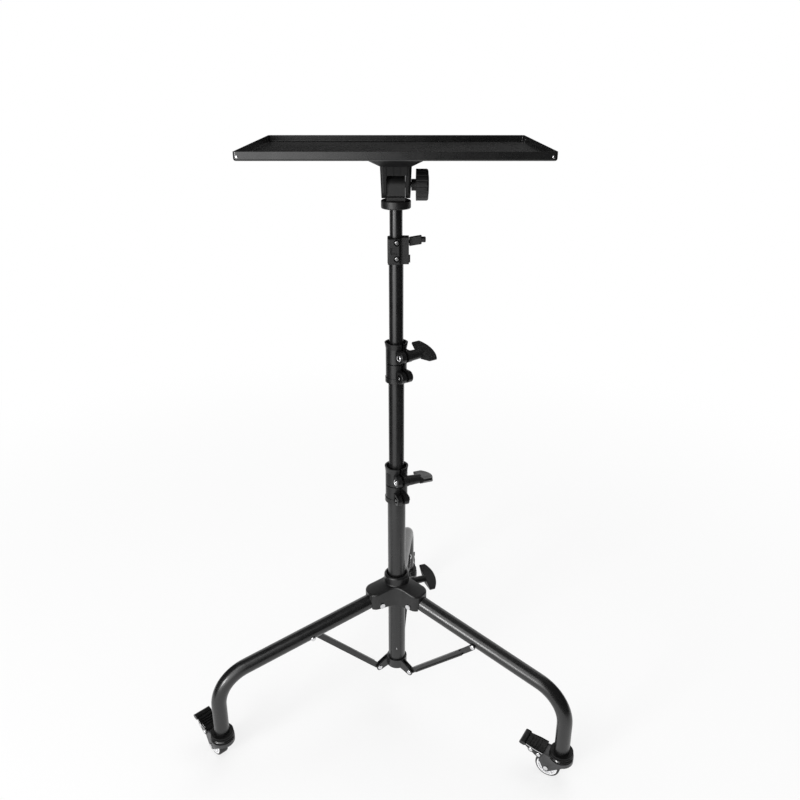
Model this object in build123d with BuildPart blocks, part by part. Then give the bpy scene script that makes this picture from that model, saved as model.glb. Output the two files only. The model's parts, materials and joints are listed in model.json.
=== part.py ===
"""Portable projector stand: a shallow tray on a tilting head, a four stage telescopic mast
and three folding legs on braked swivel casters. Millimetres, +Z up."""

from build123d import *
from math import asin, cos, degrees, radians, sin, sqrt, tan
import os

os.makedirs("parts", exist_ok=True)

# Tray
tray_width = 400.0
tray_depth = 285.0
tray_rim = 11.2
tray_sheet = 1.5
tray_corner = 4.0
tray_fold = 3.0

# Tilting head
plate_width = 104.0
plate_depth = 84.0
plate_thickness = 4.0
plate_corner = 10.0
flare_height = 16.0
yoke_width = 44.6
yoke_foot_width = 41.0
yoke_depth = 32.0
yoke_end_radius = 18.6
yoke_corner = 4.0
yoke_slot = 27.0
rib_count = 4
rib_spacing = 9.8
rib_width = 2.0
rib_proud = 1.2
tray_above_tilt_axis = 46.1
tilt_axis_above_cup = 32.7
barrel_radius = 12.5
barrel_top_gap = 8.8
barrel_side_gap = 0.3
foot_depth = 29.0
foot_height = 6.3
foot_bevel = 1.6
cup_radius = 21.6
cup_height = 12.0
cup_seat = 7.0
cup_edge = 2.0
tilt_stud_radius = 4.0
tilt_stud_end_wall = 4.0
tilt_knob_radius = 22.0
tilt_knob_length = 17.6
tilt_knob_edge = 3.0
tilt_knob_neck_radius = 8.2
tilt_knob_standoff = 6.1
tilt_knob_bore = 11.0
tilt_knob_flutes = 18
tilt_knob_flute_radius = 2.2
tilt_knob_flute_depth = 0.5

# Mast tubes
lower_tube_diameter = 30.0
third_tube_diameter = 25.0
second_tube_diameter = 22.0
top_tube_diameter = 19.0
top_tube_wall = 1.4
tube_clearance = 0.08
lower_tube_length = 376.0
third_tube_length = 430.0
second_tube_length = 470.0
top_tube_length = 490.0
third_tube_shown = 149.0
second_tube_shown = 123.0
top_tube_shown = 40.8

# Mast clamps with a wing screw
lower_clamp_wall = 3.2
middle_clamp_wall = 3.9
clamp_lip_height = 9.0
clamp_lip_wall = 2.7
clamp_lip_taper = 2.5
lower_lip_radius = 19.4
middle_lip_radius = 18.2
clamp_grip = 32.0
clamp_height = 64.0
clamp_groove = 1.8
clamp_slot = 4.5
clamp_band = 8.0
clamp_band_proud = 0.9
ear_thickness = 8.2
ear_radius = 9.2
ear_reach = 9.4
ear_edge = 1.2
upper_ear_height = 45.5
lower_ear_height = 12.5
clamp_bolt_radius = 3.0
lower_clamp_azimuth = 21.0
middle_clamp_azimuth = 36.0

# Wing screws
wing_stem_radius = 8.4
wing_stem_tip_radius = 7.4
wing_stem_length = 19.5
wing_stem_overlap = 2.5
wing_length = 49.0
wing_thickness = 21.0
wing_outer_radius = 44.0
wing_top = 5.5
wing_height = 13.0
wing_tip_height = 3.6
wing_root_half_width = 5.0
wing_edge = 1.2
lower_wing_turn = -11.0
middle_wing_turn = 19.0

# Lever clamp at the top of the second tube
lever_clamp_height = 38.5
lever_clamp_grip = 22.0
lever_clamp_wall = 1.8
lever_block_right = 18.8
lever_block_depth = 20.0
lever_plate_front = 16.0
lever_plate_width = 18.4
lever_plate_centre = -2.9
lever_plate_edge = 2.5
lever_pocket_radius = 4.9
lever_pocket_depth = 2.0
lever_pocket_side = 1.5
lever_pocket_heights = (8.5, 32.0)
lever_recess_width = 10.0
lever_recess_height = 9.0
lever_recess_depth = 2.5
lever_lug_radius = 5.8
lever_lug_height = 6.2
lever_lug_reach = 2.0
lever_screw_height = 31.5
lever_screw_radius = 2.5
lever_screw_depth = 6.0
lever_depth = 8.0
lever_height = 12.8
lever_length = 18.3
lever_rise = 3.0
lever_nub_radius = 4.2
lever_nub_length = 6.0
lever_edge = 1.5

# Legs
leg_diameter = 25.0
leg_wall = 1.5
leg_slope = 14.03
foot_radius = 327.7
foot_length = 113.1
elbow_radius = 65.0
leg_yaw = -4.12
leg_pin_distance = 36.5
leg_pin_drop = 6.8
leg_pin_radius = 3.0
leg_pin_head_radius = 4.6
leg_pin_head = 1.8
leg_end_past_pin = 4.0

# Hub
hub_wall = 5.4
hub_ceiling = 7.2
hub_arm_reach = 56.0
hub_arm_corner = 13.0
hub_valley_radius = 22.0
hub_top_edge = 3.0
hub_side_gap = 0.6
hub_ceiling_gap = 0.8
hub_below_pin = 5.2
hub_ring_radius = 21.8
hub_ring_rise = 16.0
hub_ring_edge = 3.5
hub_ring_root = 2.0
hub_mouth_gap = 3.0
hub_mouth_depth = 5.0
hub_channel_start = 26.5
hub_boss_radius = 8.0
hub_boss_reach = 33.0
hub_boss_height = 20.5
hub_boss_azimuth = 20.5
hub_screw_radius = 4.0
hub_knob_stem_radius = 6.4
hub_knob_stem_tip_radius = 6.0
hub_knob_stem_length = 19.5
hub_knob_length = 54.0
hub_knob_thickness = 19.0
hub_knob_turn = 19.0

# Braces and the bracket at the foot of the mast
brace_length = 177.1
brace_rivet_distance = 129.6
brace_rivet_drop = 5.6
brace_width = 10.0
brace_sheet = 2.0
brace_flange = 5.0
brace_side_gap = 0.4
brace_bend_start = 0.09
brace_bend_end = 0.90
brace_flange_start = 0.085
brace_flange_end = 0.84
brace_pin_radius = 2.5
bracket_pin_distance = 33.5
bracket_pin_side = 5.4
bracket_wall = 3.0
bracket_height = 16.8
bracket_pin_below = 1.4
bracket_ear_gap = 1.5
bracket_ear_sheet = 2.2
bracket_ear_radius = 6.0

# Casters
wheel_radius = 21.0
wheel_width = 16.0
tyre_depth = 3.2
tyre_edge = 2.4
wheel_side_gap = 3.0
wheel_top_gap = 3.0
disc_hub_radius = 7.0
disc_rim = 2.2
disc_recess = 3.0
disc_spokes = 6
disc_spoke_width = 3.0
fork_sheet = 2.0
fork_end_radius = 7.0
fork_front_reach = 15.5
fork_skirt_radius = 20.0
fork_skirt_drop = 5.0
caster_trail = 20.0
race_radius = 17.0
race_height = 2.0
swivel_gap = 0.5
collar_radius = 19.6
collar_step = 1.2
collar_groove = 1.0
collar_height = 10.0
collar_seat = 3.5
kingpin_radius = 4.0
kingpin_head_radius = 7.0
kingpin_head = 1.8
axle_radius = 3.0
axle_head_radius = 3.9
axle_head = 1.5
pedal_pivot_reach = 34.0
pedal_pivot_drop = 3.0
pedal_pivot_radius = 2.2
pedal_ear_radius = 4.5
pedal_lobe_radius = 5.5
pedal_side_gap = 0.4
pedal_sheet = 1.8
pedal_start = 27.0
pedal_reach = 65.5
pedal_taper_start = 41.0
pedal_tip_half_width = 12.4
pedal_plate_above_pivot = 7.4
pedal_slope = 7.7
pedal_roll_radius = 3.4
pedal_roll_length = 4.4
pedal_roll_drop = 1.4
pedal_roll_half_width = 14.6
pedal_ridges = 4
pedal_ridge_start = 38.0
pedal_ridge_pitch = 5.0
pedal_ridge_width = 2.2
pedal_ridge_height = 1.6
running_clearance = 0.06
seat_clearance = 0.05
caster_heading = {"left": 134.0, "right": 148.5, "rear": 88.0}

leg_azimuth = {"left": 210.0 + leg_yaw, "right": -30.0 + leg_yaw, "rear": 90.0 + leg_yaw}

pieces = []


def finish(part, name):
    """Keep a finished piece under its name."""
    part.label = name
    pieces.append(part)
    return part


def turned(part, azimuth, centre=(0.0, 0.0, 0.0)):
    """A copy of a piece turned about an upright axis through its own origin and moved to a centre."""
    return part.moved(Location(centre, (0.0, 0.0, azimuth)))


def upright_plane(azimuth):
    """The upright plane through the mast axis: local x runs outward, local y runs up."""
    a = radians(azimuth)
    return Plane(origin=(0, 0, 0), x_dir=(cos(a), sin(a), 0), z_dir=(sin(a), -cos(a), 0))


# Heights that follow from the sizes above
fork_crown_base = 2 * wheel_radius + wheel_top_gap
race_base = fork_crown_base + fork_sheet
collar_base = race_base + race_height + swivel_gap
leg_end = collar_base + collar_seat
elbow_corner = leg_end + foot_length
leg_fall = tan(radians(leg_slope))


def leg_axis_height(distance):
    """Height of the leg's sloping centre line at a distance from the mast axis."""
    return elbow_corner + leg_fall * (foot_radius - distance)


slope = radians(leg_slope)
leg_pin_height = leg_axis_height(leg_pin_distance) - leg_pin_drop / cos(slope)
rivet_distance = leg_pin_distance + brace_rivet_distance * cos(slope)
rivet_height = leg_axis_height(rivet_distance) - brace_rivet_drop / cos(slope)
brace_rise = sqrt(brace_length**2 - (rivet_distance - bracket_pin_distance) ** 2)
brace_angle = degrees(asin(brace_rise / brace_length))
bracket_pin_height = rivet_height - brace_rise
lower_tube_base = bracket_pin_height + bracket_pin_below
lower_clamp_base = lower_tube_base + lower_tube_length - clamp_grip
middle_clamp_base = lower_clamp_base + clamp_height + third_tube_shown
lever_clamp_base = middle_clamp_base + clamp_height + second_tube_shown
cup_base = lever_clamp_base + lever_clamp_height + top_tube_shown
tilt_axis_height = cup_base + tilt_axis_above_cup
tray_base = tilt_axis_height + tray_above_tilt_axis

# Tray: one folded sheet pan with a low rim all round
with BuildPart() as tray:
    with BuildSketch(Plane.XY.offset(tray_base)):
        RectangleRounded(tray_width, tray_depth, tray_corner)
    extrude(amount=tray_rim)
    fillet(tray.edges().group_by(Axis.Z)[0], tray_fold)
    offset(amount=-tray_sheet, openings=tray.faces().sort_by(Axis.Z)[-1])
finish(tray.part, "tray")

# Yoke under the tray: mounting plate, flare, ribbed crosspiece and two cheeks that straddle the barrel
yoke_shoulder = tray_base - plate_thickness - flare_height
yoke_foot = tilt_axis_height - yoke_end_radius
slot_radius = barrel_radius + barrel_top_gap
rib_foot = tilt_axis_height + sqrt(slot_radius**2 - (yoke_depth / 2) ** 2)
with BuildPart() as head_yoke:
    with BuildSketch(Plane.XY.offset(yoke_foot)):
        RectangleRounded(yoke_foot_width, yoke_depth, yoke_corner)
    with BuildSketch(Plane.XY.offset(yoke_shoulder)):
        RectangleRounded(yoke_width, yoke_depth, yoke_corner)
    loft()
    with BuildSketch(Plane.YZ.offset(-yoke_width)):
        with Locations((0, (yoke_shoulder + tilt_axis_height) / 2)):
            Rectangle(2 * yoke_end_radius, yoke_shoulder - tilt_axis_height)
        with Locations((0, tilt_axis_height)):
            Circle(yoke_end_radius)
    extrude(amount=2 * yoke_width, mode=Mode.INTERSECT)
    with BuildSketch(Plane.XY.offset(yoke_shoulder)):
        RectangleRounded(yoke_width, yoke_depth, yoke_corner)
    with BuildSketch(Plane.XY.offset(tray_base - plate_thickness)):
        RectangleRounded(plate_width, plate_depth, plate_corner)
    loft()
    with BuildSketch(Plane.XY.offset(tray_base - plate_thickness)):
        RectangleRounded(plate_width, plate_depth, plate_corner)
    extrude(amount=plate_thickness)
    with BuildSketch(Plane.XY.offset(yoke_shoulder)):
        with GridLocations(rib_spacing, yoke_depth, rib_count, 2):
            Rectangle(rib_width, 2 * rib_proud)
    extrude(amount=rib_foot - yoke_shoulder)
    with BuildSketch(Plane.XY.offset(yoke_shoulder)):
        with GridLocations(rib_spacing, yoke_depth, rib_count, 2):
            Rectangle(rib_width, 2 * rib_proud)
    extrude(amount=plate_thickness)
    with BuildSketch(Plane.YZ.offset(-yoke_slot / 2)):
        with Locations((0, tilt_axis_height)):
            Circle(slot_radius)
        with Locations((0, tilt_axis_height - slot_radius)):
            Rectangle(2 * slot_radius, 2 * slot_radius)
    extrude(amount=yoke_slot, mode=Mode.SUBTRACT)
    with BuildSketch(Plane.YZ.offset(-yoke_width / 2 + tilt_stud_end_wall)):
        with Locations((0, tilt_axis_height)):
            Circle(tilt_stud_radius + seat_clearance)
    extrude(amount=yoke_width, mode=Mode.SUBTRACT)
finish(head_yoke.part, "head_yoke")

# Head base: cup on the top tube with a tongue whose round top is the tilt barrel
barrel_length = yoke_slot - 2 * barrel_side_gap
cup_top = cup_base + cup_height
with BuildPart() as head_base:
    with BuildSketch(Plane.XY.offset(cup_base)):
        Circle(cup_radius)
    extrude(amount=cup_height)
    fillet(head_base.edges(), cup_edge)
    with BuildSketch(Plane.XY.offset(cup_base)):
        Circle(top_tube_diameter / 2 + seat_clearance)
    extrude(amount=cup_seat, mode=Mode.SUBTRACT)
    with BuildSketch(Plane.YZ.offset(-barrel_length / 2)):
        with Locations((0, tilt_axis_height)):
            Circle(barrel_radius)
        with Locations((0, (tilt_axis_height + cup_top) / 2)):
            Rectangle(2 * barrel_radius, tilt_axis_height - cup_top)
        with BuildLine():
            Polyline(
                (-foot_depth / 2, cup_top),
                (foot_depth / 2, cup_top),
                (foot_depth / 2, cup_top + foot_height - foot_bevel),
                (foot_depth / 2 - foot_bevel, cup_top + foot_height),
                (foot_bevel - foot_depth / 2, cup_top + foot_height),
                (-foot_depth / 2, cup_top + foot_height - foot_bevel),
                close=True,
            )
        make_face()
    extrude(amount=barrel_length)
    with BuildSketch(Plane.YZ.offset(-barrel_length / 2)):
        with Locations((0, tilt_axis_height)):
            Circle(tilt_stud_radius + running_clearance)
    extrude(amount=barrel_length, mode=Mode.SUBTRACT)
finish(head_base.part, "head_base")

# Tilt stud fixed in the yoke, and the fluted hand knob that turns on its right end
cheek_spread = (yoke_width - yoke_foot_width) / (yoke_shoulder - yoke_foot)
cheek_width = yoke_foot_width + cheek_spread * (yoke_end_radius + tilt_knob_neck_radius)
knob_start = cheek_width / 2 + barrel_side_gap
knob_base = yoke_width / 2 + tilt_knob_standoff
stud_start = -yoke_width / 2 + tilt_stud_end_wall
with BuildPart() as tilt_stud:
    with BuildSketch(Plane.YZ.offset(stud_start)):
        with Locations((0, tilt_axis_height)):
            Circle(tilt_stud_radius)
    extrude(amount=knob_base + tilt_knob_bore - barrel_side_gap - stud_start)
finish(tilt_stud.part, "tilt_stud")

with BuildPart() as tilt_knob:
    with BuildSketch(Plane.YZ.offset(knob_base)):
        with Locations((0, tilt_axis_height)):
            Circle(tilt_knob_radius)
    extrude(amount=tilt_knob_length)
    fillet(tilt_knob.edges().group_by(Axis.X)[-1], tilt_knob_edge)
    with BuildSketch(Plane.YZ.offset(knob_base)):
        with Locations((0, tilt_axis_height)):
            with PolarLocations(tilt_knob_radius + tilt_knob_flute_radius - tilt_knob_flute_depth, tilt_knob_flutes):
                Circle(tilt_knob_flute_radius)
    extrude(amount=tilt_knob_length, mode=Mode.SUBTRACT)
    with BuildSketch(Plane.YZ.offset(knob_start)):
        with Locations((0, tilt_axis_height)):
            Circle(tilt_knob_neck_radius)
    extrude(amount=knob_base - knob_start)
    with BuildSketch(Plane.YZ.offset(knob_start)):
        with Locations((0, tilt_axis_height)):
            Circle(tilt_stud_radius + running_clearance)
    extrude(amount=knob_base + tilt_knob_bore - knob_start, mode=Mode.SUBTRACT)
finish(tilt_knob.part, "tilt_knob")


# Mast tubes, each sliding inside the next
def make_tube(diameter, bore, base, length):
    with BuildPart() as tube:
        with BuildSketch(Plane.XY.offset(base)):
            Circle(diameter / 2)
            Circle(bore / 2, mode=Mode.SUBTRACT)
        extrude(amount=length)
    return tube.part


def sliding_bore(inner_diameter):
    """Bore of a tube that another tube slides in."""
    return inner_diameter + 2 * tube_clearance


third_tube_base = middle_clamp_base + clamp_grip - third_tube_length
second_tube_base = lever_clamp_base + lever_clamp_grip - second_tube_length
top_tube_base = cup_base + cup_seat - top_tube_length
lower_bore = sliding_bore(third_tube_diameter)
third_bore = sliding_bore(second_tube_diameter)
second_bore = sliding_bore(top_tube_diameter)
top_bore = top_tube_diameter - 2 * top_tube_wall
finish(make_tube(lower_tube_diameter, lower_bore, lower_tube_base, lower_tube_length), "lower_tube")
finish(make_tube(third_tube_diameter, third_bore, third_tube_base, third_tube_length), "third_tube")
finish(make_tube(second_tube_diameter, second_bore, second_tube_base, second_tube_length), "second_tube")
finish(make_tube(top_tube_diameter, top_bore, top_tube_base, top_tube_length), "top_tube")

# Clamps: a split collar with a funnel lip and two pairs of ears, the bolts lying along local x
ear_span = 2 * ear_thickness + clamp_slot


def ear_distance(outer_tube):
    """Distance of a clamp's bolts from the mast axis."""
    return outer_tube / 2 + ear_reach


def make_clamp(outer_tube, inner_tube, wall, lip_radius, base, azimuth):
    ring_radius = outer_tube / 2 + wall
    bolt_distance = ear_distance(outer_tube)
    lip_base = base + clamp_height - clamp_lip_height
    mouth_radius = lip_radius - clamp_lip_wall
    with BuildPart() as clamp:
        for height in (lower_ear_height, upper_ear_height):
            with BuildSketch(Plane.YZ.offset(-ear_span / 2)):
                with Locations((-bolt_distance, base + height)):
                    Circle(ear_radius)
                with Locations((-bolt_distance / 2, base + height)):
                    Rectangle(bolt_distance, 2 * ear_radius)
            extrude(amount=ear_span)
        outer_ends = clamp.edges().filter_by(GeomType.CIRCLE)
        fillet(outer_ends, ear_edge)
        with BuildSketch(Plane.XY.offset(base)):
            Circle(ring_radius)
        extrude(amount=clamp_height)
        with BuildSketch(Plane.XY.offset(base)):
            Circle(ring_radius + clamp_band_proud)
        extrude(amount=clamp_band)
        with BuildSketch(Plane.XY.offset(lip_base)):
            Circle(ring_radius)
        with BuildSketch(Plane.XY.offset(base + clamp_height)):
            Circle(lip_radius)
        loft()
        with BuildSketch(Plane.XY.offset(base)):
            Circle(outer_tube / 2 + seat_clearance)
        extrude(amount=clamp_grip, mode=Mode.SUBTRACT)
        with BuildSketch(Plane.XY.offset(base)):
            Circle(inner_tube / 2 + tube_clearance)
        extrude(amount=clamp_height, mode=Mode.SUBTRACT)
        with BuildSketch(Plane.XY.offset(lip_base)):
            Circle(mouth_radius - clamp_lip_taper)
        with BuildSketch(Plane.XY.offset(base + clamp_height)):
            Circle(mouth_radius)
        loft(mode=Mode.SUBTRACT)
        with BuildSketch(Plane.XY.offset(base)):
            with Locations((0, -bolt_distance)):
                Rectangle(clamp_slot, 2 * bolt_distance)
        extrude(amount=clamp_height, mode=Mode.SUBTRACT)
        with BuildSketch(Plane.XY.offset(base + clamp_grip)):
            with Locations((0, -bolt_distance)):
                Rectangle(4 * bolt_distance, 2 * bolt_distance)
        extrude(amount=-clamp_groove, mode=Mode.SUBTRACT)
        with BuildSketch(Plane.YZ.offset(-ear_span / 2)):
            with Locations((-bolt_distance, base + lower_ear_height), (-bolt_distance, base + upper_ear_height)):
                Circle(clamp_bolt_radius + running_clearance)
        extrude(amount=ear_span, mode=Mode.SUBTRACT)
    return turned(clamp.part, azimuth)


lower_clamp = make_clamp(
    lower_tube_diameter, third_tube_diameter, lower_clamp_wall,
    lower_lip_radius, lower_clamp_base, lower_clamp_azimuth,
)
finish(lower_clamp, "lower_clamp")
middle_clamp = make_clamp(
    third_tube_diameter, second_tube_diameter, middle_clamp_wall,
    middle_lip_radius, middle_clamp_base, middle_clamp_azimuth,
)
finish(middle_clamp, "middle_clamp")


# Wing screws: a screw along local x, a stout stem and a grip with a flat top, thin tips and a curved outer edge
def make_wing(screw_length, screw_radius, stem_radii, stem_length, length, thickness):
    tip = stem_length + thickness
    with BuildPart() as wing:
        with BuildSketch(Plane.XY.offset(wing_top)):
            with Locations((tip - wing_outer_radius, 0)):
                Circle(wing_outer_radius)
            with Locations((stem_length + thickness / 2, 0)):
                Rectangle(thickness, length, mode=Mode.INTERSECT)
        extrude(amount=-wing_height)
        with BuildSketch(Plane.YZ):
            Polygon(
                (-length / 2, wing_top),
                (-length / 2, wing_top - wing_tip_height),
                (-wing_root_half_width, wing_top - wing_height),
                (wing_root_half_width, wing_top - wing_height),
                (length / 2, wing_top - wing_tip_height),
                (length / 2, wing_top),
                align=None,
            )
        extrude(amount=tip, mode=Mode.INTERSECT)
        fillet(wing.edges().group_by(Axis.Z)[-1], wing_edge)
        with BuildSketch(Plane.YZ.offset(-screw_length)):
            Circle(screw_radius)
        extrude(amount=screw_length + barrel_side_gap)
        with BuildSketch(Plane.YZ.offset(barrel_side_gap)):
            Circle(stem_radii[0])
        with BuildSketch(Plane.YZ.offset(stem_length + wing_stem_overlap)):
            Circle(stem_radii[1])
        loft()
    return wing.part


def place_wing(outer_tube, base, azimuth, turn):
    """Put a wing screw in the upper ears of a clamp."""
    wing = make_wing(
        ear_span, clamp_bolt_radius, (wing_stem_radius, wing_stem_tip_radius),
        wing_stem_length, wing_length, wing_thickness,
    )
    in_clamp = Location((ear_span / 2, -ear_distance(outer_tube), base + upper_ear_height), (turn, 0, 0))
    return turned(wing.moved(in_clamp), azimuth)


lower_wing = place_wing(lower_tube_diameter, lower_clamp_base, lower_clamp_azimuth, lower_wing_turn)
finish(lower_wing, "lower_wing_screw")
middle_wing = place_wing(third_tube_diameter, middle_clamp_base, middle_clamp_azimuth, middle_wing_turn)
finish(middle_wing, "middle_wing_screw")

# Lever clamp: a short collar with a flat front plate, two screw pockets and a block for the lever screw
lever_ring = second_tube_diameter / 2 + lever_clamp_wall
lever_axis_height = lever_clamp_base + lever_screw_height
lug_height = lever_clamp_base + lever_lug_height
with BuildPart() as top_clamp:
    with BuildSketch(Plane.XY.offset(lever_clamp_base)):
        with Locations((lever_plate_centre, -lever_plate_front / 2)):
            Rectangle(lever_plate_width, lever_plate_front)
    extrude(amount=lever_clamp_height)
    fillet(top_clamp.faces().sort_by(Axis.Y)[0].edges(), lever_plate_edge)
    with BuildSketch(Plane.XY.offset(lever_clamp_base)):
        Circle(lever_ring)
        with Locations((lever_block_right / 2, 0)):
            Rectangle(lever_block_right, lever_block_depth)
    extrude(amount=lever_clamp_height)
    with BuildSketch(Plane.YZ):
        with Locations((0, lug_height)):
            Circle(lever_lug_radius)
    extrude(amount=lever_block_right + lever_lug_reach)
    with BuildSketch(Plane.XZ.offset(lever_plate_front)):
        for height in lever_pocket_heights:
            with Locations((lever_pocket_side, lever_clamp_base + height)):
                Circle(lever_pocket_radius)
    extrude(amount=-lever_pocket_depth, mode=Mode.SUBTRACT)
    with BuildSketch(Plane.XZ.offset(lever_plate_front)):
        with Locations((lever_plate_centre, lever_clamp_base + sum(lever_pocket_heights) / 2)):
            Rectangle(lever_recess_width, lever_recess_height)
    extrude(amount=-lever_recess_depth, mode=Mode.SUBTRACT)
    with BuildSketch(Plane.XY.offset(lever_clamp_base)):
        Circle(second_tube_diameter / 2 + seat_clearance)
    extrude(amount=lever_clamp_grip, mode=Mode.SUBTRACT)
    with BuildSketch(Plane.XY.offset(lever_clamp_base)):
        Circle(top_tube_diameter / 2 + tube_clearance)
    extrude(amount=lever_clamp_height, mode=Mode.SUBTRACT)
    with BuildSketch(Plane.YZ.offset(lever_block_right)):
        with Locations((0, lever_axis_height)):
            Circle(lever_screw_radius + running_clearance)
    extrude(amount=-lever_screw_depth, mode=Mode.SUBTRACT)
finish(top_clamp.part, "top_clamp")

lever_start = lever_block_right + barrel_side_gap
lever_end = lever_start + lever_length
with BuildPart() as top_lever:
    with BuildSketch(Plane.XZ):
        with BuildLine():
            Polyline(
                (lever_start, lever_axis_height - lever_height / 2),
                (lever_start, lever_axis_height + lever_height / 2),
                (lever_end, lever_axis_height + lever_height / 2 + lever_rise),
                (lever_end, lever_axis_height - lever_height / 2 + lever_rise),
                close=True,
            )
        make_face()
    extrude(amount=lever_depth / 2, both=True)
    fillet(top_lever.edges(), lever_edge)
    with BuildSketch(Plane.YZ.offset(lever_start - lever_screw_depth)):
        with Locations((0, lever_axis_height)):
            Circle(lever_screw_radius)
    extrude(amount=lever_screw_depth + lever_edge)
    with BuildSketch(Plane.YZ.offset(lever_end - lever_edge)):
        with Locations((0, lever_axis_height + lever_rise)):
            Circle(lever_nub_radius)
    extrude(amount=lever_nub_length + lever_edge)
    fillet(top_lever.edges().filter_by(GeomType.CIRCLE).group_by(Axis.X)[-1], lever_edge)
finish(top_lever.part, "top_lever")

# Hub: a three armed casting with a channel for each leg and a ring round the mast
arm_half_width = leg_diameter / 2 + hub_side_gap + hub_wall
hub_base = leg_pin_height - hub_below_pin
arm_top_offset = (leg_diameter / 2 + hub_ceiling_gap + hub_ceiling) / cos(slope)
hub_ring_top = leg_axis_height(hub_ring_radius) + arm_top_offset + hub_ring_rise
hub_apex = leg_axis_height(0) + arm_top_offset
hub_far = 2 * hub_arm_reach
boss_height = leg_pin_height + hub_boss_height


def reach_of(vertex):
    """Distance of a corner from the mast axis."""
    return sqrt(vertex.X**2 + vertex.Y**2)


with BuildPart() as hub:
    with BuildSketch(Plane.XY.offset(hub_base)) as star:
        for azimuth in leg_azimuth.values():
            with Locations(Location((0, 0, 0), (0, 0, azimuth))):
                Rectangle(hub_arm_reach, 2 * arm_half_width, align=(Align.MIN, Align.CENTER))
        fillet([v for v in star.vertices() if reach_of(v) > hub_arm_reach], hub_arm_corner)
        fillet([v for v in star.vertices() if reach_of(v) < 1.5 * arm_half_width], hub_valley_radius)
    extrude(amount=hub_apex - hub_base)
    with BuildSketch(Plane.XZ):
        with BuildLine():
            Polyline(
                (0, hub_base),
                (hub_far, hub_base),
                (hub_far, leg_axis_height(hub_far) + arm_top_offset),
                (0, hub_apex),
                close=True,
            )
        make_face()
    revolve(axis=Axis.Z, mode=Mode.INTERSECT)
    fillet(hub.faces().filter_by(GeomType.CONE)[0].edges(), hub_top_edge)
    with BuildSketch(Plane.XY.offset(hub_base)):
        Circle(hub_ring_radius)
    extrude(amount=hub_ring_top - hub_base)
    slope_face = hub.faces().filter_by(GeomType.CONE)[0]
    fillet(slope_face.edges().filter_by(GeomType.CIRCLE).sort_by(Axis.Z)[-1], hub_ring_root)
    fillet(hub.faces().sort_by(Axis.Z)[-1].edges(), hub_ring_edge)
    boss_plane = Plane(
        origin=(0, 0, boss_height),
        x_dir=(-sin(radians(hub_boss_azimuth)), cos(radians(hub_boss_azimuth)), 0),
        z_dir=(cos(radians(hub_boss_azimuth)), sin(radians(hub_boss_azimuth)), 0),
    )
    with BuildSketch(boss_plane):
        Circle(hub_boss_radius)
    extrude(amount=hub_boss_reach)
    for azimuth in leg_azimuth.values():
        with BuildSketch(upright_plane(azimuth)):
            with BuildLine():
                Polyline(
                    (hub_channel_start, 0),
                    (hub_far, 0),
                    (hub_far, leg_axis_height(hub_far)),
                    (hub_channel_start, leg_axis_height(hub_channel_start)),
                    close=True,
                )
            make_face()
        extrude(amount=leg_diameter / 2 + hub_side_gap, both=True, mode=Mode.SUBTRACT)
        a = radians(azimuth)
        channel_plane = Plane(
            origin=(
                hub_channel_start * cos(a),
                hub_channel_start * sin(a),
                leg_axis_height(hub_channel_start),
            ),
            z_dir=(cos(slope) * cos(a), cos(slope) * sin(a), -sin(slope)),
        )
        with BuildSketch(channel_plane):
            Circle(leg_diameter / 2 + hub_ceiling_gap)
        extrude(amount=hub_arm_reach, mode=Mode.SUBTRACT)
        with BuildSketch(upright_plane(azimuth)):
            with Locations((leg_pin_distance, leg_pin_height)):
                Circle(leg_pin_radius + seat_clearance)
        extrude(amount=2 * arm_half_width, both=True, mode=Mode.SUBTRACT)
    with BuildSketch(Plane.XY):
        Circle(lower_tube_diameter / 2 + tube_clearance)
    extrude(amount=2 * hub_ring_top, mode=Mode.SUBTRACT)
    with BuildSketch(Plane.XY.offset(hub_ring_top - hub_mouth_depth)):
        Circle(lower_tube_diameter / 2 + tube_clearance)
    with BuildSketch(Plane.XY.offset(hub_ring_top)):
        Circle(lower_tube_diameter / 2 + hub_mouth_gap)
    loft(mode=Mode.SUBTRACT)
    with BuildSketch(boss_plane):
        Circle(hub_screw_radius + running_clearance)
    extrude(amount=2 * hub_boss_reach, mode=Mode.SUBTRACT)
finish(hub.part, "hub")

screw_reach = hub_boss_reach - lower_tube_diameter / 2 - barrel_side_gap
knob = make_wing(
    screw_reach, hub_screw_radius, (hub_knob_stem_radius, hub_knob_stem_tip_radius),
    hub_knob_stem_length, hub_knob_length, hub_knob_thickness,
)
knob_in_hub = Location((hub_boss_reach, 0, boss_height), (hub_knob_turn, 0, 0))
finish(turned(knob.moved(knob_in_hub), hub_boss_azimuth), "hub_knob")

# Leg pins
with BuildPart() as leg_pin:
    with BuildSketch(Plane.XZ):
        with Locations((leg_pin_distance, leg_pin_height)):
            Circle(leg_pin_radius)
    extrude(amount=arm_half_width, both=True)
    for side in (-1, 1):
        with BuildSketch(Plane.XZ.offset(side * arm_half_width)):
            with Locations((leg_pin_distance, leg_pin_height)):
                Circle(leg_pin_head_radius)
        extrude(amount=side * leg_pin_head)
for side, azimuth in leg_azimuth.items():
    finish(turned(leg_pin.part, azimuth), f"leg_pin_{side}")

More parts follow.
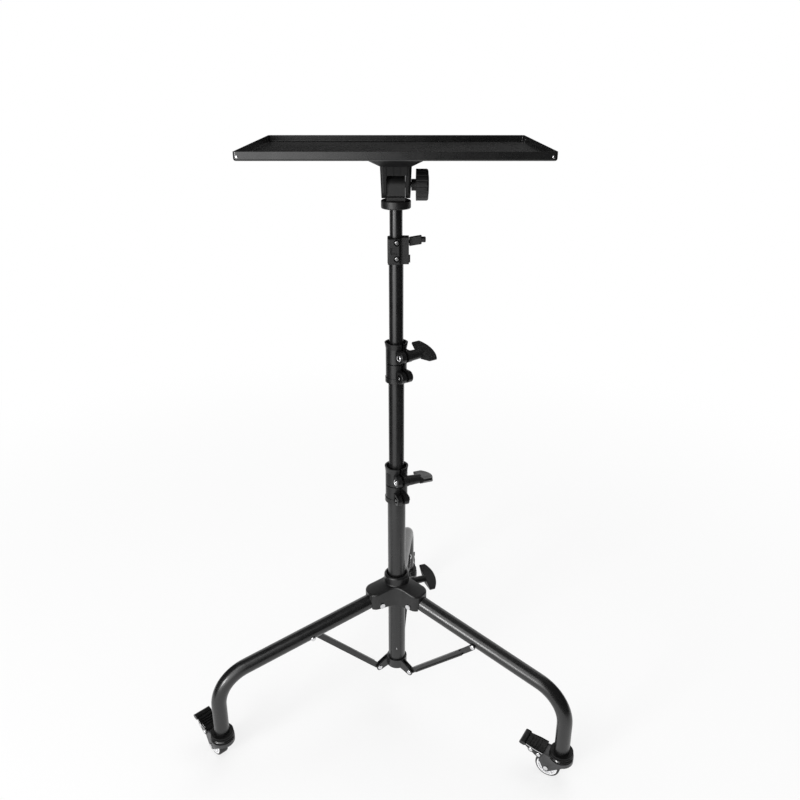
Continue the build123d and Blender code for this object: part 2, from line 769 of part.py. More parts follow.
# Legs: one bent tube each, sloping out and then straight down to the caster
leg_start = leg_pin_distance - leg_end_past_pin * cos(slope)
with BuildPart() as leg:
    with BuildLine(Plane.XZ) as leg_path:
        FilletPolyline(
            (leg_start, leg_axis_height(leg_start)),
            (foot_radius, elbow_corner),
            (foot_radius, leg_end),
            radius=elbow_radius,
        )
    with BuildSketch(Plane(origin=leg_path.line @ 0, z_dir=leg_path.line % 0)):
        Circle(leg_diameter / 2)
        Circle(leg_diameter / 2 - leg_wall, mode=Mode.SUBTRACT)
    sweep()
    with BuildSketch(Plane.XZ):
        with Locations((leg_pin_distance, leg_pin_height)):
            Circle(leg_pin_radius + running_clearance)
    extrude(amount=leg_diameter, both=True, mode=Mode.SUBTRACT)
for side, azimuth in leg_azimuth.items():
    finish(turned(leg.part, azimuth), f"leg_{side}")

# Bracket at the foot of the mast with three pairs of ears and their pins
ear_inner = brace_sheet / 2 + bracket_ear_gap
ear_outer = ear_inner + bracket_ear_sheet
bracket_base = lower_tube_base
bracket_radius = lower_tube_diameter / 2 + bracket_wall
with BuildPart() as spreader_bracket:
    with BuildSketch(Plane.XY.offset(bracket_base)):
        Circle(bracket_radius)
    extrude(amount=bracket_height)
    for azimuth in leg_azimuth.values():
        brace_side = upright_plane(azimuth).offset(bracket_pin_side)
        with BuildSketch(brace_side):
            with Locations((bracket_pin_distance, bracket_pin_height)):
                Circle(bracket_ear_radius)
            with Locations((lower_tube_diameter / 2, bracket_base + bracket_height / 2)):
                Rectangle(bracket_wall, bracket_height)
            make_hull()
        extrude(amount=ear_outer, both=True)
        with BuildSketch(brace_side):
            with Locations((bracket_radius + bracket_pin_distance, bracket_base)):
                Rectangle(2 * bracket_pin_distance, 4 * bracket_height)
        extrude(amount=ear_inner, both=True, mode=Mode.SUBTRACT)
    with BuildSketch(Plane.XY.offset(bracket_base)):
        Circle(lower_tube_diameter / 2 + seat_clearance)
    extrude(amount=bracket_height, mode=Mode.SUBTRACT)
    for azimuth in leg_azimuth.values():
        with BuildSketch(upright_plane(azimuth).offset(bracket_pin_side)):
            with Locations((bracket_pin_distance, bracket_pin_height)):
                Circle(brace_pin_radius)
        extrude(amount=ear_outer, both=True)
finish(spreader_bracket.part, "spreader_bracket")

# Braces: a pressed channel from the bracket to the side of the leg, with a flat tab at each end
tab_offset = leg_diameter / 2 + brace_side_gap + brace_sheet / 2
beta = radians(brace_angle)
along = Vector(cos(beta), 0, sin(beta))
across = Vector(-sin(beta), 0, cos(beta))
brace_foot = Vector(bracket_pin_distance, 0, bracket_pin_height)
strip_plane = Plane(origin=brace_foot, x_dir=along, z_dir=across)
outline_plane = Plane(origin=brace_foot, x_dir=along, z_dir=Vector(0, -1, 0))
half = brace_sheet / 2
bend = (brace_bend_start * brace_length, brace_bend_end * brace_length)


def brace_offset(distance):
    """Sideways place of the brace's middle sheet at a distance along it."""
    share = (distance - bend[0]) / (bend[1] - bend[0])
    return -bracket_pin_side - (tab_offset - bracket_pin_side) * min(max(share, 0.0), 1.0)


strip_stations = (-brace_width, bend[0], bend[1], brace_length + brace_width)
flange_stations = (brace_flange_start * brace_length, brace_flange_end * brace_length)
with BuildPart() as brace:
    with BuildSketch(strip_plane):
        with BuildLine():
            Polyline(
                *[(s, brace_offset(s) + half) for s in strip_stations],
                *[(s, brace_offset(s) - half) for s in reversed(strip_stations)],
                close=True,
            )
        make_face()
    extrude(amount=brace_width / 2, both=True)
    with BuildSketch(outline_plane):
        with Locations((brace_length / 2, 0)):
            SlotCenterToCenter(brace_length, brace_width)
    extrude(amount=2 * tab_offset, both=True, mode=Mode.INTERSECT)
    for side in (-1, 1):
        with BuildSketch(strip_plane.offset(side * (brace_width / 2 - half))):
            with BuildLine():
                Polyline(
                    *[(s, brace_offset(s) + half) for s in flange_stations],
                    *[(s, brace_offset(s) + half - brace_flange) for s in reversed(flange_stations)],
                    close=True,
                )
            make_face()
        extrude(amount=half, both=True)
    with BuildSketch(outline_plane):
        Circle(brace_pin_radius + running_clearance)
    extrude(amount=tab_offset, both=True, mode=Mode.SUBTRACT)
for side, azimuth in leg_azimuth.items():
    finish(turned(brace.part, azimuth), f"brace_{side}")

# Caster parts, each built with the swivel axis at the origin and the wheel trailing along +X
fork_inner = wheel_width / 2 + wheel_side_gap
fork_outer = fork_inner + fork_sheet
pedal_pivot_height = race_base - pedal_pivot_drop
pedal_inner = fork_outer + pedal_side_gap
pedal_outer = pedal_inner + pedal_sheet

with BuildPart() as caster_collar:
    with BuildSketch(Plane.XY.offset(collar_base)):
        Circle(collar_radius - collar_step)
    extrude(amount=collar_height)
    ring_height = (collar_height - 2 * collar_groove) / 3
    for step in range(3):
        with BuildSketch(Plane.XY.offset(collar_base + step * (ring_height + collar_groove))):
            Circle(collar_radius - collar_step * step / 3)
        extrude(amount=ring_height)
    with BuildSketch(Plane.XY.offset(leg_end)):
        Circle(leg_diameter / 2 + seat_clearance)
    extrude(amount=collar_height, mode=Mode.SUBTRACT)
    with BuildSketch(Plane.XY.offset(fork_crown_base - swivel_gap)):
        Circle(kingpin_radius)
    extrude(amount=collar_base - fork_crown_base + swivel_gap)
    with BuildSketch(Plane.XY.offset(fork_crown_base - swivel_gap)):
        Circle(kingpin_head_radius)
    extrude(amount=-kingpin_head)

with BuildPart() as caster_fork:
    with BuildSketch(Plane.XY.offset(fork_crown_base)):
        Circle(fork_skirt_radius)
    extrude(amount=-fork_skirt_drop)
    with BuildSketch(Plane.XY.offset(fork_crown_base)):
        Circle(fork_skirt_radius - fork_sheet)
    extrude(amount=-fork_skirt_drop, mode=Mode.SUBTRACT)
    with BuildSketch(Plane.XY.offset(fork_crown_base)):
        with Locations((2 * fork_skirt_radius, 0)):
            Rectangle(4 * fork_skirt_radius, 4 * fork_skirt_radius)
    extrude(amount=-fork_skirt_drop, mode=Mode.SUBTRACT)
    with BuildSketch(Plane.XY.offset(fork_crown_base)):
        Circle(fork_skirt_radius)
        with Locations((pedal_pivot_reach / 2, 0)):
            Rectangle(pedal_pivot_reach, 2 * fork_outer)
    extrude(amount=fork_sheet)
    with BuildSketch(Plane.XY.offset(race_base)):
        Circle(race_radius)
    extrude(amount=race_height)
    for side in (-1, 1):
        with BuildSketch(Plane.XZ.offset(side * fork_inner)):
            with Locations((caster_trail, wheel_radius)):
                Circle(fork_end_radius)
            with Locations(((caster_trail - fork_front_reach) / 2, fork_crown_base - fork_sheet / 2)):
                Rectangle(caster_trail + fork_front_reach, 3 * fork_sheet)
            with Locations((pedal_pivot_reach, pedal_pivot_height)):
                Circle(pedal_ear_radius)
            make_hull()
        extrude(amount=side * fork_sheet)
    with BuildSketch(Plane.XY.offset(fork_crown_base)):
        with Locations((pedal_start, 0)):
            Rectangle(pedal_pivot_reach, 2 * fork_inner, align=(Align.MIN, Align.CENTER))
    extrude(amount=fork_sheet, mode=Mode.SUBTRACT)
    with BuildSketch(Plane.XY.offset(fork_crown_base)):
        Circle(kingpin_radius + running_clearance)
    extrude(amount=collar_base - fork_crown_base, mode=Mode.SUBTRACT)
    with BuildSketch(Plane.XZ):
        with Locations((caster_trail, wheel_radius)):
            Circle(axle_radius + seat_clearance)
        with Locations((pedal_pivot_reach, pedal_pivot_height)):
            Circle(pedal_pivot_radius + running_clearance)
    extrude(amount=2 * fork_outer, both=True, mode=Mode.SUBTRACT)

with BuildPart() as caster_axle:
    with BuildSketch(Plane.XZ):
        with Locations((caster_trail, wheel_radius)):
            Circle(axle_radius)
    extrude(amount=fork_outer, both=True)
    for side in (-1, 1):
        with BuildSketch(Plane.XZ.offset(side * fork_outer)):
            with Locations((caster_trail, wheel_radius)):
                Circle(axle_head_radius)
        extrude(amount=side * axle_head)

with BuildPart() as caster_tyre:
    with BuildSketch(Plane.XZ):
        with Locations((caster_trail, wheel_radius)):
            Circle(wheel_radius)
    extrude(amount=wheel_width / 2, both=True)
    fillet(caster_tyre.edges().filter_by(GeomType.CIRCLE), tyre_edge)
    with BuildSketch(Plane.XZ):
        with Locations((caster_trail, wheel_radius)):
            Circle(wheel_radius - tyre_depth)
    extrude(amount=wheel_width, both=True, mode=Mode.SUBTRACT)

disc_radius = wheel_radius - tyre_depth - seat_clearance
with BuildPart() as caster_disc:
    with BuildSketch(Plane.XZ):
        with Locations((caster_trail, wheel_radius)):
            Circle(disc_radius)
            Circle(axle_radius + running_clearance, mode=Mode.SUBTRACT)
    extrude(amount=wheel_width / 2, both=True)
    for side in (-1, 1):
        with BuildSketch(Plane.XZ.offset(side * wheel_width / 2)):
            with Locations((caster_trail, wheel_radius)):
                Circle(disc_radius - disc_rim)
                Circle(disc_hub_radius, mode=Mode.SUBTRACT)
                with PolarLocations(disc_radius / 2, disc_spokes):
                    Rectangle(disc_radius, disc_spoke_width, mode=Mode.SUBTRACT)
        extrude(amount=-side * disc_recess, mode=Mode.SUBTRACT)


def pedal_top(distance):
    """Height of the pedal's top face at a distance from the swivel axis."""
    rise = tan(radians(pedal_slope)) * (distance - pedal_pivot_reach)
    return pedal_pivot_height + pedal_plate_above_pivot + rise


def pedal_plan(inset):
    """Plan of the pedal, drawn in from its sides."""
    half_widths = (
        (pedal_start, pedal_outer - inset),
        (pedal_taper_start, pedal_outer - inset),
        (pedal_reach, pedal_tip_half_width - inset),
    )
    near = [(x, -y) for x, y in half_widths]
    return near + list(reversed(half_widths))


pedal_plate = [
    (pedal_start, pedal_top(pedal_start) - pedal_sheet),
    (pedal_reach, pedal_top(pedal_reach) - pedal_sheet),
    (pedal_reach, pedal_top(pedal_reach)),
    (pedal_start, pedal_top(pedal_start)),
]
with BuildPart() as brake_pedal:
    with BuildSketch(Plane.XZ):
        Polygon(*pedal_plate, align=None)
        with Locations((pedal_pivot_reach, pedal_pivot_height)):
            Circle(pedal_lobe_radius)
        make_hull()
    extrude(amount=pedal_outer, both=True)
    with BuildSketch(Plane.XY):
        Polygon(*pedal_plan(0), align=None)
        with Locations((pedal_pivot_reach, 0)):
            Rectangle(2 * pedal_lobe_radius + pedal_sheet, 2 * pedal_outer)
    extrude(amount=2 * pedal_pivot_height, mode=Mode.INTERSECT)
    with BuildSketch(Plane.XY):
        Polygon(*pedal_plan(pedal_sheet), align=None)
        with Locations((pedal_pivot_reach, 0)):
            Rectangle(2 * pedal_lobe_radius + 2 * pedal_sheet, 2 * pedal_inner)
    extrude(amount=2 * pedal_pivot_height, mode=Mode.SUBTRACT)
    with BuildSketch(Plane.XZ):
        Polygon(*pedal_plate, align=None)
    extrude(amount=pedal_tip_half_width, both=True)
    with BuildSketch(Plane.XZ):
        for ridge in range(pedal_ridges):
            x = pedal_ridge_start + ridge * pedal_ridge_pitch
            with Locations(Location((x, pedal_top(x)), pedal_slope)):
                Rectangle(pedal_ridge_width, 2 * pedal_ridge_height)
    extrude(amount=pedal_tip_half_width - pedal_sheet, both=True)
    with BuildSketch(Plane.XZ):
        for x in (pedal_reach - pedal_roll_length, pedal_reach):
            with Locations((x, pedal_top(x) - pedal_roll_drop)):
                Circle(pedal_roll_radius)
        make_hull()
    extrude(amount=pedal_roll_half_width, both=True)
    with BuildSketch(Plane.XZ):
        with Locations((pedal_pivot_reach, pedal_pivot_height)):
            Circle(pedal_pivot_radius)
    extrude(amount=pedal_outer, both=True)

caster_pieces = {
    "caster_collar": caster_collar,
    "caster_fork": caster_fork,
    "caster_axle": caster_axle,
    "caster_tyre": caster_tyre,
    "caster_disc": caster_disc,
    "brake_pedal": brake_pedal,
}
for side, azimuth in leg_azimuth.items():
    foot = (foot_radius * cos(radians(azimuth)), foot_radius * sin(radians(azimuth)), 0)
    for name, piece in caster_pieces.items():
        finish(turned(piece.part, caster_heading[side], foot), f"{name}_{side}")

# The origin is the middle of the footprint, on the floor
box = Compound(children=[piece.moved(Location()) for piece in pieces]).bounding_box()
to_origin = Location((-box.center().X, -box.center().Y, -box.min.Z))
placed = {piece.label: piece.moved(to_origin) for piece in pieces}

for name, piece in placed.items():
    piece.label = name
    export_step(piece, f"parts/{name}.step")
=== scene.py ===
"""Dresses the portable projector stand: finishes, small fasteners, floor, soft light and the camera."""

import json
from math import cos, pi, radians, sin

import bmesh
import bpy
from mathutils import Matrix, Vector

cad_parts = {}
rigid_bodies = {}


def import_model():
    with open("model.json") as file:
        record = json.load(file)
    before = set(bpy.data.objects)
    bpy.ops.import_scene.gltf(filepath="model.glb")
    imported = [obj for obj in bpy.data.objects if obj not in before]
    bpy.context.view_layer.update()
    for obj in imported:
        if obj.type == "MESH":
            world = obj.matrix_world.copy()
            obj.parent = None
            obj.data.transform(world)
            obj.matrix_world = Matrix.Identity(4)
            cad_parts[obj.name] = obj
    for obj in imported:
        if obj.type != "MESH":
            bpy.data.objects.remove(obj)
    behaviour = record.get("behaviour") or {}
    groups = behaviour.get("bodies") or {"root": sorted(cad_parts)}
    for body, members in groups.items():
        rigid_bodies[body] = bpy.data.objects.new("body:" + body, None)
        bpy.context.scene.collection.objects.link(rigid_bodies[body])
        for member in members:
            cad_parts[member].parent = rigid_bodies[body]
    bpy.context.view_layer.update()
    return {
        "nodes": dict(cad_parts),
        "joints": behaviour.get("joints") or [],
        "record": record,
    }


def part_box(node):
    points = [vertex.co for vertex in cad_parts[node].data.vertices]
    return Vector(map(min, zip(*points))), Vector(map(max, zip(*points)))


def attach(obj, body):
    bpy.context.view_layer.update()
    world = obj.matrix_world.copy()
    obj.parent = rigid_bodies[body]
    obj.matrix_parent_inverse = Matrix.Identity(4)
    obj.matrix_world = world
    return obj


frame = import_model()

# Sizes are in millimetres where nothing else is said, and a length times mm is in the frame's metres
mm = 0.001

# Heads, discs and recesses of the small pieces
round_steps = 32
hexagon = 6
dome_steps = 6
crease_limit = 38.0  # degrees
weld_distance = 0.001
seat_depth = 0.4
disc_edge = 0.25
dome_rim_share = 0.25
recess_length_share = 1.25
recess_width_share = 0.3
recess_floor_share = 0.3
recess_top_share = 2.0

# Tray fasteners
tray_rivet_radius = 1.9
tray_rivet_height = 0.9
tray_rivet_inset = 5.2
tray_rivet_rise = 5.2
floor_screw_radius = 4.2
floor_screw_height = 0.35
floor_screw_spacing = (76.0, 56.0)
tray_sheet = 1.5

# Tilt knob cap
knob_cap_radius = 13.0
knob_cap_height = 0.6

# Screws in the pockets of the lever clamp
pocket_depth = 2.0
pocket_side = 1.5
pocket_heights = {"lower": 8.5, "upper": 32.0}
pocket_screw_radius = 3.4
pocket_screw_height = 1.7
# Near-black disc on each pocket's floor, a painted shade in the pocket
pocket_painted_shade_radius = 4.8
pocket_painted_shade_height = 0.1

# Bolts through the ears of the two lower clamps
ear_span = 20.9
ear_bolt_spacing = 33.0
ear_nut_across = 9.6
ear_nut_height = 2.2
ear_nut_edge = 0.5
ear_bolt_radius = 2.8
ear_bolt_proud = 0.9
ear_bolt_rim_share = 0.8
ear_button_radius = 5.2
ear_button_height = 2.4
ear_button_rim_share = 0.4
ear_socket_share = 0.52
# Painted shade in the button's socket: a near-black disc whose top stands this much above the socket's
# floor
ear_socket_painted_shade = 0.1
# Painted shade round the stud: a thin near-black ring for the dark recess it sits in
ear_stud_painted_shade_radius = 5.2
ear_stud_painted_shade_height = 0.3
ear_stud_radius = 2.5
ear_stud_height = 1.3

# Rivets of the braces and pins of the bracket at the mast's foot
brace_rivet_reach = 162.2
brace_rivet_height = 201.7
brace_rivet_radius = 4.2
brace_rivet_dome = 2.0
brace_outer_face = 14.9
leg_radius = 12.5
ear_pin_radius = 4.1
ear_pin_dome = 1.4
ear_pin_side = 5.4
ear_pin_half_span = 4.7

# Small rivet low on the mast, and the plug that closes the mast's foot
stop_rivet_radius = 1.1
stop_rivet_dome = 0.55
stop_rivet_rise = 42.0
mast_plug_radius = 14.6
mast_plug_height = 1.6
mast_plug_edge = 0.6

# Casters: places are along the wheel's trail, to its side and above the floor
pedal_face = 15.2
pedal_pivot_place = (34.0, 44.0)
pedal_rivet_place = (48.3, 47.4)
pedal_rivet_face = 14.4
pedal_rivet_radius = 3.5
pedal_rivet_dome = 1.2
pedal_lobe_radius = 4.8
pedal_lobe_proud = 0.3
pedal_sheet = 1.8
pedal_edge_stations = ((27.2, 15.2, 49.7), (41.0, 15.2, 51.6), (57.0, 13.4, 53.8))
pedal_edge_height = 1.1
pedal_edge_proud = 0.25
brake_tongue_place = (28.2, 47.2)
brake_tongue_size = (1.6, 20.0, 3.4)

# Bevelled ring at the foot of each caster collar: radius and height above the floor
collar_bevel_steps = 96
collar_bevel_inside = ((17.0, 54.3), (17.0, 50.4))
collar_bevel_profile = ((17.0, 50.4), (19.3, 50.4), (19.95, 51.2), (18.1, 54.3), *collar_bevel_inside)

# Camera that took the photograph, measured from the mast on the floor
camera_place = (5.756, -1135.3, 1081.82)
camera_tilt = 67.2414  # degrees
camera_focal_pixels = 775.557
camera_sight = 100.0  # metres
image_width = 800.0  # pixels
sensor_width = 36.0

# Floor in metres: it fades to white between two distances from the stand
floor_half_width = 12.0
floor_near = 0.45
floor_far = 1.9
floor_white_share = 0.72
floor_tone = 0.9
floor_roughness = 0.9
floor_specular = 0.1

# Light: place and size in metres, and power in watts
lamps = {
    "soft_box": ((-0.78, -1.42, 0.66), (1.2, 1.0), 6.8),
    "hot_core": ((-2.05, -2.2, 1.0), (0.7, 0.7), 38.0),
    "key": ((-1.05, -1.6, 2.5), (1.4, 1.4), 12.0),
    "top": ((0.7, 0.9, 3.0), (2.4, 2.4), 36.0),
}
aim_height = 0.45
world_strength = 0.5

# Dark cards round the stand that shape its reflections: turns from the front in degrees, counted to
# the right, and the height of the lower edge in metres
card_reach = 0.8
card_top = 1.6
card_steps = 24
card_tone = 0.02
card_roughness = 1.0
cards = {"right": (-2.0, 120.0, 0.0), "left": (-125.0, -58.0, 0.0), "back": (120.0, 235.0, 0.85)}
lid_turns = (0.0, 345.0)

white = (1, 1, 1, 1)
sides = ("left", "right", "rear")
hands = {"a": 1, "b": -1}
joints = {joint["name"]: joint for joint in frame["joints"]}
up = Vector((0, 0, 1))
front = Vector((0, -1, 0))


def lowest(node):
    """Lowest corner of a node."""
    return Vector(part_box(node)[0])


def highest(node):
    """Highest corner of a node."""
    return Vector(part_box(node)[1])


def joint_point(name):
    """A point on a joint's axis."""
    return Vector(joints[name]["pos_m"])


def joint_axis(name):
    """Direction of a joint's axis."""
    return Vector(joints[name]["axis"])


def grey(tone):
    """A plain grey colour."""
    return (tone, tone, tone, 1)


def link(name, data):
    """An object in the scene that shows a mesh, a lamp or a camera."""
    holder = bpy.data.objects.new(name, data)
    bpy.context.scene.collection.objects.link(holder)
    return holder


mast_middle = (lowest("lower_tube") + highest("lower_tube")) / 2
mast = Vector((mast_middle.x, mast_middle.y, 0))


# Finishes: each has patches of tint and of roughness, with their size and both ends, and some have a
# fine relief, with the size, detail, depth and strength of its grain
plain_specular = 0.5
noise_detail = 3.0
noise_span = (0.3, 0.7)
tint_span = (0.32, 0.68)

moulding_tint = (35.0, (0.006, 0.006, 0.0062), (0.01, 0.01, 0.0102))
moulding_relief = (0.45, 2.0, 0.06, 0.5)
caster_tint = (20.0, (0.003, 0.003, 0.0031), (0.005, 0.005, 0.0051))
caster_relief = (0.6, 2.0, 0.02, 0.2)
coats = {
    "black_powder_coat": {
        "tint": (60.0, (0.005, 0.005, 0.0052), (0.008, 0.008, 0.0082)),
        "roughness": (18.0, 0.25, 0.33),
        "relief": (0.7, 2.0, 0.05, 0.3),
        "specular": 0.65,
    },
    "black_moulding": {
        "tint": moulding_tint,
        "roughness": (12.0, 0.4, 0.52),
        "relief": moulding_relief,
    },
    "dark_pressing": {
        "tint": (20.0, (0.028, 0.028, 0.029), (0.045, 0.045, 0.047)),
        "roughness": (7.0, 0.3, 0.42),
        "relief": (1.1, 2.0, 0.04, 0.3),
    },
    "bright_steel": {
        "tint": (4.0, (0.66, 0.66, 0.67), (0.8, 0.8, 0.81)),
        "roughness": (2.0, 0.16, 0.32),
        "metallic": 1.0,
    },
    "black_tyre": {
        "tint": (9.0, (0.012, 0.012, 0.012), (0.022, 0.022, 0.022)),
        "roughness": (4.0, 0.55, 0.7),
        "relief": (0.9, 3.0, 0.08, 0.5),
    },
    "pale_disc": {
        "tint": (8.0, (0.78, 0.78, 0.79), (0.86, 0.86, 0.87)),
        "roughness": (3.0, 0.14, 0.26),
    },
    "dull_zinc": {
        "tint": (4.0, (0.2, 0.2, 0.2), (0.3, 0.3, 0.3)),
        "roughness": (2.0, 0.3, 0.42),
        "metallic": 1.0,
    },
    # Painted shade: a near-black, dull finish for the discs laid in pockets, in sockets and round studs,
    # where there is only shade
    "painted_recess_shade": {
        "tint": (5.0, (0.001, 0.001, 0.001), (0.002, 0.002, 0.002)),
        "roughness": (2.0, 0.85, 0.95),
        "specular": 0.05,
    },
    # Shaded copy of the moulding: rougher, with weaker reflection, as painted shade on the head under the
    # tray
    "head_moulding_painted_shade": {
        "tint": moulding_tint,
        "roughness": (12.0, 0.45, 0.55),
        "relief": moulding_relief,
        "specular": 0.25,
    },
    "satin_moulding": {
        "tint": moulding_tint,
        "roughness": (12.0, 0.3, 0.38),
        "relief": moulding_relief,
    },
    "pedal_moulding": {
        "tint": caster_tint,
        "roughness": (6.0, 0.16, 0.24),
        "relief": caster_relief,
    },
    "collar_moulding": {
        "tint": caster_tint,
        "roughness": (6.0, 0.5, 0.6),
        "relief": caster_relief,
        "specular": 0.2,
    },
    "bevel_moulding": {
        "tint": caster_tint,
        "roughness": (6.0, 0.17, 0.24),
        "relief": caster_relief,
        "specular": 1.0,
    },
}

# Nodes, or kinds of nodes, whose finish differs from the rest of their slot
node_coats = {
    # The head under the tray takes the moulding's shaded copy, a painted shade
    "head_yoke": "head_moulding_painted_shade",
    "hub": "satin_moulding",
    "lower_clamp": "satin_moulding",
    "middle_clamp": "satin_moulding",
    "brake_pedal": "pedal_moulding",
    "caster_collar": "collar_moulding",
}


class Finish:
    """A material under construction, with short calls for the nodes that the finishes share."""

    def __init__(self, name):
        self.material = bpy.data.materials.new(name)
        self.material.use_nodes = True
        self.tree = self.material.node_tree
        self.shader = self.tree.nodes["Principled BSDF"]
        self.place = self.tree.nodes.new("ShaderNodeTexCoord").outputs["Object"]

    def noise(self, size, detail=noise_detail):
        """Even noise with grains of about a size."""
        node = self.tree.nodes.new("ShaderNodeTexNoise")
        node.inputs["Scale"].default_value = 1 / (size * mm)
        node.inputs["Detail"].default_value = detail
        self.tree.links.new(self.place, node.inputs["Vector"])
        return node.outputs["Fac"]

    def tint(self, source, low, high):
        """Drive the base colour between two colours."""
        node = self.tree.nodes.new("ShaderNodeValToRGB")
        for element, position, colour in zip(node.color_ramp.elements, tint_span, (low, high)):
            element.position = position
            element.color = (*colour, 1)
        self.tree.links.new(source, node.inputs["Fac"])
        self.tree.links.new(node.outputs["Color"], self.shader.inputs["Base Color"])

    def roughen(self, source, low, high):
        """Drive the roughness between two values."""
        node = self.tree.nodes.new("ShaderNodeMapRange")
        node.inputs["From Min"].default_value, node.inputs["From Max"].default_value = noise_span
        node.inputs["To Min"].default_value = low
        node.inputs["To Max"].default_value = high
        self.tree.links.new(source, node.inputs["Value"])
        self.tree.links.new(node.outputs["Result"], self.shader.inputs["Roughness"])

    def raise_grain(self, source, depth, strength):
        """Raise a fine relief."""
        node = self.tree.nodes.new("ShaderNodeBump")
        node.inputs["Distance"].default_value = depth * mm
        node.inputs["Strength"].default_value = strength
        self.tree.links.new(source, node.inputs["Height"])
        self.tree.links.new(node.outputs["Normal"], self.shader.inputs["Normal"])


def make_coat(name, tint, roughness, relief=None, specular=plain_specular, metallic=0.0):
    """A material with patches of tint and roughness, and a relief where it has one."""
    finish = Finish(name)
    tint_size, dark, light = tint
    finish.tint(finish.noise(tint_size), dark, light)
    patch_size, smooth, rough = roughness
    finish.roughen(finish.noise(patch_size), smooth, rough)
    if relief:
        grain_size, detail, depth, strength = relief
        finish.raise_grain(finish.noise(grain_size, detail), depth, strength)
    finish.shader.inputs["Specular IOR Level"].default_value = specular
    finish.shader.inputs["Metallic"].default_value = metallic
    return finish.material


finishes = {name: make_coat(name, **look) for name, look in coats.items()}
for subpart in frame["record"]["subparts"]:
    node_name = subpart["node"]
    kind = node_name.rsplit("_", 1)[0]
    coat = node_coats.get(node_name) or node_coats.get(kind) or subpart["material_slot"]
    for material_slot in frame["nodes"][node_name].material_slots:
        material_slot.material = finishes[coat]


# Small pieces
def mark_sharp(work):
    """Smooth the faces, apart from edges where they meet sharply."""
    for face in work.faces:
        face.smooth = True
    for edge in work.edges:
        edge.smooth = len(edge.link_faces) == 2 and edge.calc_face_angle(0.0) < radians(crease_limit)


def make_piece(name, work):
    """Turn a mesh under construction into an object."""
    mesh = bpy.data.meshes.new(name)
    work.to_mesh(mesh)
    work.free()
    return link(name, mesh)


def lathe(name, profile, steps=round_steps):
    """A closed round piece: points of radius and height, turned about its upright axis."""
    work = bmesh.new()
    rings = []
    for radius, height in profile:
        count = steps if radius else 1
        turns = [2 * pi * step / steps for step in range(count)]
        points = [(radius * cos(turn) * mm, radius * sin(turn) * mm, height * mm) for turn in turns]
        rings.append([work.verts.new(point) for point in points])
    for lower, upper in zip(rings, rings[1:]):
        for step in range(steps):
            following = (step + 1) % steps
            loop = [lower[step % len(lower)], lower[following % len(lower)]]
            loop += [upper[following % len(upper)], upper[step % len(upper)]]
            face = list(dict.fromkeys(loop))
            if len(face) > 2:
                work.faces.new(face)
    bmesh.ops.remove_doubles(work, verts=work.verts, dist=weld_distance * mm)
    bmesh.ops.recalc_face_normals(work, faces=work.faces)
    mark_sharp(work)
    return make_piece(name, work)


def block(name, length, width, low, high):
    """An upright block about its own axis."""
    work = bmesh.new()
    bmesh.ops.create_cube(work, size=1.0)
    size = Matrix.Diagonal((length * mm, width * mm, (high - low) * mm, 1))
    middle = Matrix.Translation((0, 0, (low + high) / 2 * mm))
    bmesh.ops.transform(work, matrix=middle @ size, verts=work.verts)
    return make_piece(name, work)


def dome_profile(radius, height, rim=dome_rim_share):
    """Profile of a rivet head with a short upright rim, sunk a little into what carries it."""
    points = [(0, -seat_depth), (radius, -seat_depth), (radius, rim * height)]
    for step in range(1, dome_steps):
        turn = pi / 2 * step / dome_steps
        points.append((radius * cos(turn), height * (rim + (1 - rim) * sin(turn))))
    return points + [(0, height)]


def disc_profile(radius, height, edge=disc_edge, seat=seat_depth):
    """Profile of a flat disc with a small bevel, sunk a little into what carries it."""
    return [(0, -seat), (radius, -seat), (radius, height - edge), (radius - edge, height), (0, height)]


def carve(piece, cutter):
    """Cut a closed piece out of another and drop the cutter."""
    cut = piece.modifiers.new("cut", "BOOLEAN")
    cut.object = cutter
    bpy.context.view_layer.update()
    carved = piece.evaluated_get(bpy.context.evaluated_depsgraph_get())
    mesh = bpy.data.meshes.new_from_object(carved)
    piece.modifiers.clear()
    piece.data = mesh
    bpy.data.objects.remove(cutter)


def cross_head(name, radius, height):
    """A domed screw head with a cross recess."""
    piece = lathe(name, dome_profile(radius, height))
    long_side = radius * recess_length_share
    short_side = radius * recess_width_share
    for length, width in ((long_side, short_side), (short_side, long_side)):
        carve(piece, block("recess", length, width, recess_floor_share * height, recess_top_share * height))
    return piece


def socket_head(name, radius, height):
    """A button head with a six sided socket."""
    piece = lathe(name, dome_profile(radius, height, rim=ear_button_rim_share))
    corner = ear_socket_share * radius
    floor = recess_floor_share * height
    top = recess_top_share * height
    carve(piece, lathe("socket", [(0, floor), (corner, floor), (corner, top), (0, top)], steps=hexagon))
    return piece


def nut_on_bolt(name, across, height, bolt_radius, bolt_proud):
    """A hexagon nut with the bolt's end standing out of it."""
    corner = across / 2 / cos(pi / hexagon)
    piece = lathe(name, disc_profile(corner, height, edge=ear_nut_edge), steps=hexagon)
    end = lathe(name + "_bolt", dome_profile(bolt_radius, height + bolt_proud, rim=ear_bolt_rim_share))
    end.parent = piece
    return piece


def set_down(piece, pose, body, slot, coat=None):
    """Put a piece where it belongs, give it its slot's finish or its own, and let it ride on a body."""
    piece.matrix_world = pose
    for part in [piece, *piece.children]:
        part.data.materials.clear()
        part.data.materials.append(finishes[coat or slot])
    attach(piece, body)


def fasten(piece, place, axis, body, slot, coat=None):
    """Stand a piece on a place, pointing along an axis."""
    turn = up.rotation_difference(axis).to_matrix().to_4x4()
    set_down(piece, Matrix.Translation(place) @ turn, body, slot, coat)


